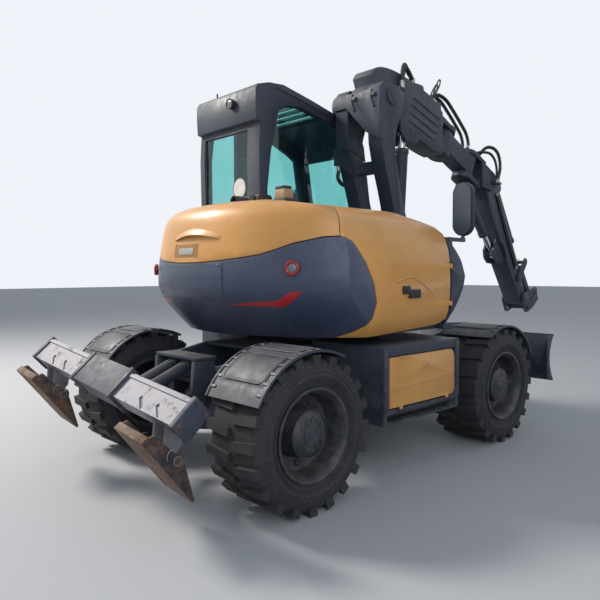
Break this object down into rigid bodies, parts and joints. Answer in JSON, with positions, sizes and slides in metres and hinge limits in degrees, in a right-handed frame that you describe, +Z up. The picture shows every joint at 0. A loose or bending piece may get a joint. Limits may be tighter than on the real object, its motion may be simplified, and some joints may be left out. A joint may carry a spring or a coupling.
{
  "type": "wheeled excavator",
  "caption": "Compact wheeled excavator with a forked two-piece swing boom, dipper and tool coupler, a dozer blade in front and a two-foot stabiliser behind.",
  "frame": {"origin": "on the ground, midway between the axles, in the vehicle's centre plane", "axes": "+X forward towards the blade, +Y to the cab's side (left), +Z up"},
  "size_m": [6.12, 2.6286, 3.5819],
  "materials": {
    "body_paint": "satin, sun-faded and dusty",
    "tail_paint": "satin",
    "frame_paint": "satin, dusty",
    "sleeve_paint": "worn, with rust",
    "rim_paint": "satin, muddy",
    "bare_steel": "worn, with rust",
    "worn_steel": "rusty, with a worn sole",
    "chrome": "polished",
    "tyre": "matt, dusty",
    "glass": "clear, tinted green",
    "seat_fabric": "woven",
    "plastic": "fine grain",
    "hose_rubber": "satin, dusty",
    "lamp_red": "clear red lens"
  },
  "bodies": {
    "chassis": {"chassis_frame": "frame_paint", "axles": "frame_paint", "side_lockers": "frame_paint"},
    "lid_right": {"locker_lid_right": "body_paint"},
    "lid_left": {"locker_lid_left": "body_paint"},
    "steer_fl": {"knuckle_fl": "frame_paint"},
    "steer_fr": {"knuckle_fr": "frame_paint"},
    "steer_rl": {"knuckle_rl": "frame_paint"},
    "steer_rr": {"knuckle_rr": "frame_paint"},
    "wheel_fl": {"rim_fl": "rim_paint", "tyre_fl": "tyre"},
    "wheel_fr": {"rim_fr": "rim_paint", "tyre_fr": "tyre"},
    "wheel_rl": {"rim_rl": "rim_paint", "tyre_rl": "tyre"},
    "wheel_rr": {"rim_rr": "rim_paint", "tyre_rr": "tyre"},
    "blade_arms": {"blade_arms": "frame_paint"},
    "blade_link": {"blade_link": "frame_paint"},
    "blade": {"blade": "frame_paint"},
    "blade_barrels": {"blade_barrels": "frame_paint"},
    "blade_rods": {"blade_rods": "chrome"},
    "stabiliser": {"stabiliser_frame": "sleeve_paint", "stabiliser_beams": "bare_steel"},
    "stabiliser_foot_left": {"stabiliser_foot_left": "worn_steel"},
    "stabiliser_foot_right": {"stabiliser_foot_right": "worn_steel"},
    "stabiliser_barrels": {"stabiliser_barrels": "frame_paint"},
    "stabiliser_rods": {"stabiliser_rods": "chrome"},
    "upper": {"upper_frame": "frame_paint", "counterweight": "tail_paint", "engine": "frame_paint", "cab_frame": "frame_paint", "cab_glass": "glass", "seat": "seat_fabric", "mirrors": "plastic", "lamps": "lamp_red"},
    "hood": {"hood": "body_paint"},
    "side_door": {"side_door": "body_paint"},
    "cab_door": {"cab_door": "frame_paint", "door_glass": "glass"},
    "base_boom": {"base_boom": "frame_paint", "leg_hoses": "hose_rubber"},
    "boom_barrels": {"boom_barrels": "frame_paint"},
    "boom_rods": {"boom_rods": "chrome"},
    "mid_boom": {"mid_boom": "frame_paint", "mid_hoses": "hose_rubber"},
    "mid_barrel": {"mid_barrel": "frame_paint"},
    "mid_rod": {"mid_rod": "chrome"},
    "swing_arm": {"swing_arm": "frame_paint"},
    "boom_head": {"boom_head": "frame_paint", "head_hoses": "hose_rubber"},
    "dipper": {"dipper": "frame_paint", "dipper_hoses": "hose_rubber"},
    "dipper_barrel": {"dipper_barrel": "frame_paint"},
    "dipper_rod": {"dipper_rod": "chrome"},
    "bucket_barrel": {"bucket_barrel": "frame_paint"},
    "bucket_rod": {"bucket_rod": "chrome"},
    "rocker": {"rocker": "frame_paint"},
    "tie_link": {"tie_link": "frame_paint"},
    "coupler": {"coupler": "frame_paint"}
  },
  "joints": [
    {"name": "steer_fl", "type": "hinge", "parent": "chassis", "child": "steer_fl", "pos_m": [1.2, 0.8, 0.51], "axis": [0, 0, 1], "range_deg": [-25, 25]},
    {"name": "spin_fl", "type": "hinge", "parent": "steer_fl", "child": "wheel_fl", "pos_m": [1.2, 0.985, 0.51], "axis": [0, 1, 0], "continuous": true},
    {"name": "steer_fr", "type": "hinge", "parent": "chassis", "child": "steer_fr", "pos_m": [1.2, -0.8, 0.51], "axis": [0, 0, 1], "range_deg": [-25.5, 25.5]},
    {"name": "spin_fr", "type": "hinge", "parent": "steer_fr", "child": "wheel_fr", "pos_m": [1.2, -0.985, 0.51], "axis": [0, 1, 0], "continuous": true},
    {"name": "steer_rl", "type": "hinge", "parent": "chassis", "child": "steer_rl", "pos_m": [-1.2, 0.8, 0.51], "axis": [0, 0, 1], "range_deg": [-25, 25]},
    {"name": "spin_rl", "type": "hinge", "parent": "steer_rl", "child": "wheel_rl", "pos_m": [-1.2, 0.985, 0.51], "axis": [0, 1, 0], "continuous": true},
    {"name": "steer_rr", "type": "hinge", "parent": "chassis", "child": "steer_rr", "pos_m": [-1.2, -0.8, 0.51], "axis": [0, 0, 1], "range_deg": [-25.5, 25.5]},
    {"name": "spin_rr", "type": "hinge", "parent": "steer_rr", "child": "wheel_rr", "pos_m": [-1.2, -0.985, 0.51], "axis": [0, 1, 0], "continuous": true},
    {"name": "lid_right_turn", "type": "hinge", "parent": "chassis", "child": "lid_right", "pos_m": [0, -1.149, 0.524], "axis": [1, 0, 0], "range_deg": [0, 95]},
    {"name": "lid_left_turn", "type": "hinge", "parent": "chassis", "child": "lid_left", "pos_m": [0, 1.149, 0.524], "axis": [-1, 0, 0], "range_deg": [0, 95]},
    {"name": "blade_lift", "type": "hinge", "parent": "chassis", "child": "blade_arms", "pos_m": [1.5, 0, 0.56], "axis": [0, 1, 0], "range_deg": [0, 52]},
    {"name": "blade_link_turn", "type": "hinge", "parent": "chassis", "child": "blade_link", "pos_m": [1.52, 0, 0.725], "axis": [0, 1, 0], "range_deg": [-0.5, 52.5]},
    {"name": "blade_turn", "type": "hinge", "parent": "blade_arms", "child": "blade", "pos_m": [2.045, 0, 0.68], "axis": [0, 1, 0], "range_deg": [-52.5, 0.5]},
    {"name": "blade_barrel_turn", "type": "hinge", "parent": "chassis", "child": "blade_barrels", "pos_m": [1.525, 0, 0.795], "axis": [0, 1, 0], "range_deg": [-0.5, 39.92]},
    {"name": "blade_rod_slide", "type": "slide", "parent": "blade_barrels", "child": "blade_rods", "axis": [0.9409, 0, -0.3387], "range_m": [-0.004, 0.1855]},
    {"name": "stabiliser_lower", "type": "hinge", "parent": "chassis", "child": "stabiliser", "pos_m": [-1.532, 0, 0.471], "axis": [0, -1, 0], "range_deg": [0, 54]},
    {"name": "foot_left_turn", "type": "hinge", "parent": "stabiliser", "child": "stabiliser_foot_left", "pos_m": [-2.03, 0.79927, 0.63571], "axis": [0, 0.9959, 0.0906], "range_deg": [-12, 12]},
    {"name": "foot_right_turn", "type": "hinge", "parent": "stabiliser", "child": "stabiliser_foot_right", "pos_m": [-2.03, -0.79415, 0.4907], "axis": [0, 0.9959, 0.0906], "range_deg": [-12, 12]},
    {"name": "stabiliser_barrel_turn", "type": "hinge", "parent": "chassis", "child": "stabiliser_barrels", "pos_m": [-1.39, 0, 0.86], "axis": [0, -1, 0], "range_deg": [-0.5, 21.67]},
    {"name": "stabiliser_rod_slide", "type": "slide", "parent": "stabiliser_barrels", "child": "stabiliser_rods", "axis": [-0.9252, 0, -0.3796], "range_m": [-0.004, 0.2488]},
    {"name": "slew", "type": "hinge", "parent": "chassis", "child": "upper", "pos_m": [0.2, 0, 1.03], "axis": [0, 0, 1], "continuous": true},
    {"name": "hood_lift", "type": "hinge", "parent": "upper", "child": "hood", "pos_m": [-0.435, 0, 2.078], "axis": [0, 1, 0], "range_deg": [0, 50]},
    {"name": "side_door_turn", "type": "hinge", "parent": "upper", "child": "side_door", "pos_m": [0.408, -1.153, 1.43], "axis": [0, 0, 1], "range_deg": [0, 75]},
    {"name": "cab_door_turn", "type": "hinge", "parent": "upper", "child": "cab_door", "pos_m": [0.06, 1.165, 2.6], "axis": [0, 0, 1], "range_deg": [0, 120]},
    {"name": "base_boom_lift", "type": "hinge", "parent": "upper", "child": "base_boom", "pos_m": [0.86, -0.132, 1.4], "axis": [0, 1, 0], "range_deg": [-5, 38]},
    {"name": "boom_barrel_turn", "type": "hinge", "parent": "upper", "child": "boom_barrels", "pos_m": [1.33, -0.132, 1.23], "axis": [0, 1, 0], "range_deg": [-3.07, 20.03]},
    {"name": "boom_rod_slide", "type": "slide", "parent": "boom_barrels", "child": "boom_rods", "axis": [-0.4754, 0, 0.8798], "range_m": [-0.256, 0.0372]},
    {"name": "mid_boom_lift", "type": "hinge", "parent": "base_boom", "child": "mid_boom", "pos_m": [0.6, -0.132, 3.13], "axis": [0, -1, 0], "range_deg": [-10, 32]},
    {"name": "mid_barrel_turn", "type": "hinge", "parent": "base_boom", "child": "mid_barrel", "pos_m": [1.01, -0.132, 1.64], "axis": [0, 1, 0], "range_deg": [-0.87, 1.68]},
    {"name": "mid_rod_slide", "type": "slide", "parent": "mid_barrel", "child": "mid_rod", "axis": [0.0773, 0, 0.997], "range_m": [-0.0966, 0.3002]},
    {"name": "boom_swing", "type": "hinge", "parent": "mid_boom", "child": "swing_arm", "pos_m": [1.8, -0.132, 2.925], "axis": [0.3916, 0, 0.9202], "range_deg": [-40, 40]},
    {"name": "head_swing", "type": "hinge", "parent": "swing_arm", "child": "boom_head", "pos_m": [2.27, -0.132, 2.725], "axis": [0.3916, 0, 0.9202], "range_deg": [-40.5, 40.5]},
    {"name": "dipper_turn", "type": "hinge", "parent": "boom_head", "child": "dipper", "pos_m": [2.64, -0.132, 2.58], "axis": [0, 1, 0], "range_deg": [-32, 22]},
    {"name": "dipper_barrel_turn", "type": "hinge", "parent": "boom_head", "child": "dipper_barrel", "pos_m": [2.23, -0.132, 2.48], "axis": [0, 1, 0], "range_deg": [-25.35, 17.59]},
    {"name": "dipper_rod_slide", "type": "slide", "parent": "dipper_barrel", "child": "dipper_rod", "axis": [0.6876, 0, -0.7261], "range_m": [-0.1379, 0.1987]},
    {"name": "coupler_turn", "type": "hinge", "parent": "dipper", "child": "coupler", "pos_m": [3.5, -0.132, 1.19], "axis": [0, 1, 0], "range_deg": [-20, 60]},
    {"name": "rocker_turn", "type": "hinge", "parent": "dipper", "child": "rocker", "pos_m": [3.35678, -0.132, 1.4595], "axis": [0, 1, 0], "range_deg": [-20.38, 60.14]},
    {"name": "tie_link_turn", "type": "hinge", "parent": "coupler", "child": "tie_link", "pos_m": [3.76405, -0.132, 1.27639], "axis": [0, 1, 0], "range_deg": [-38.54, 13.18]},
    {"name": "bucket_barrel_turn", "type": "hinge", "parent": "dipper", "child": "bucket_barrel", "pos_m": [2.93981, -0.132, 2.54207], "axis": [0, 1, 0], "range_deg": [-2.18, 1.06]},
    {"name": "bucket_rod_slide", "type": "slide", "parent": "bucket_barrel", "child": "bucket_rod", "axis": [0.5382, 0, -0.8428], "range_m": [-0.083, 0.241]}
  ],
  "couplings": [
    {"joint": "steer_fr", "follows": "steer_fl", "ratio": 1},
    {"joint": "steer_rr", "follows": "steer_rl", "ratio": 1},
    {"joint": "blade_link_turn", "follows": "blade_lift", "ratio": 1},
    {"joint": "blade_turn", "follows": "blade_lift", "ratio": -1},
    {"joint": "blade_barrel_turn", "follows": "blade_lift", "ratio": 0.758},
    {"joint": "blade_rod_slide", "follows": "blade_lift", "m_per_rad": 0.2},
    {"joint": "stabiliser_barrel_turn", "follows": "stabiliser_lower", "ratio": 0.392},
    {"joint": "stabiliser_rod_slide", "follows": "stabiliser_lower", "m_per_rad": 0.2597},
    {"joint": "boom_barrel_turn", "follows": "base_boom_lift", "ratio": 0.514},
    {"joint": "boom_rod_slide", "follows": "base_boom_lift", "m_per_rad": -0.38},
    {"joint": "mid_barrel_turn", "follows": "mid_boom_lift", "ratio": 0.0369},
    {"joint": "mid_rod_slide", "follows": "mid_boom_lift", "m_per_rad": 0.5303},
    {"joint": "head_swing", "follows": "boom_swing", "ratio": -1},
    {"joint": "dipper_barrel_turn", "follows": "dipper_turn", "ratio": 0.7766},
    {"joint": "dipper_rod_slide", "follows": "dipper_turn", "m_per_rad": -0.3486},
    {"joint": "rocker_turn", "follows": "coupler_turn", "ratio": 0.994},
    {"joint": "tie_link_turn", "follows": "coupler_turn", "ratio": -0.634},
    {"joint": "bucket_rod_slide", "follows": "coupler_turn", "m_per_rad": 0.2263},
    {"joint": "bucket_barrel_turn", "follows": "coupler_turn", "ratio": -0.028}
  ]
}
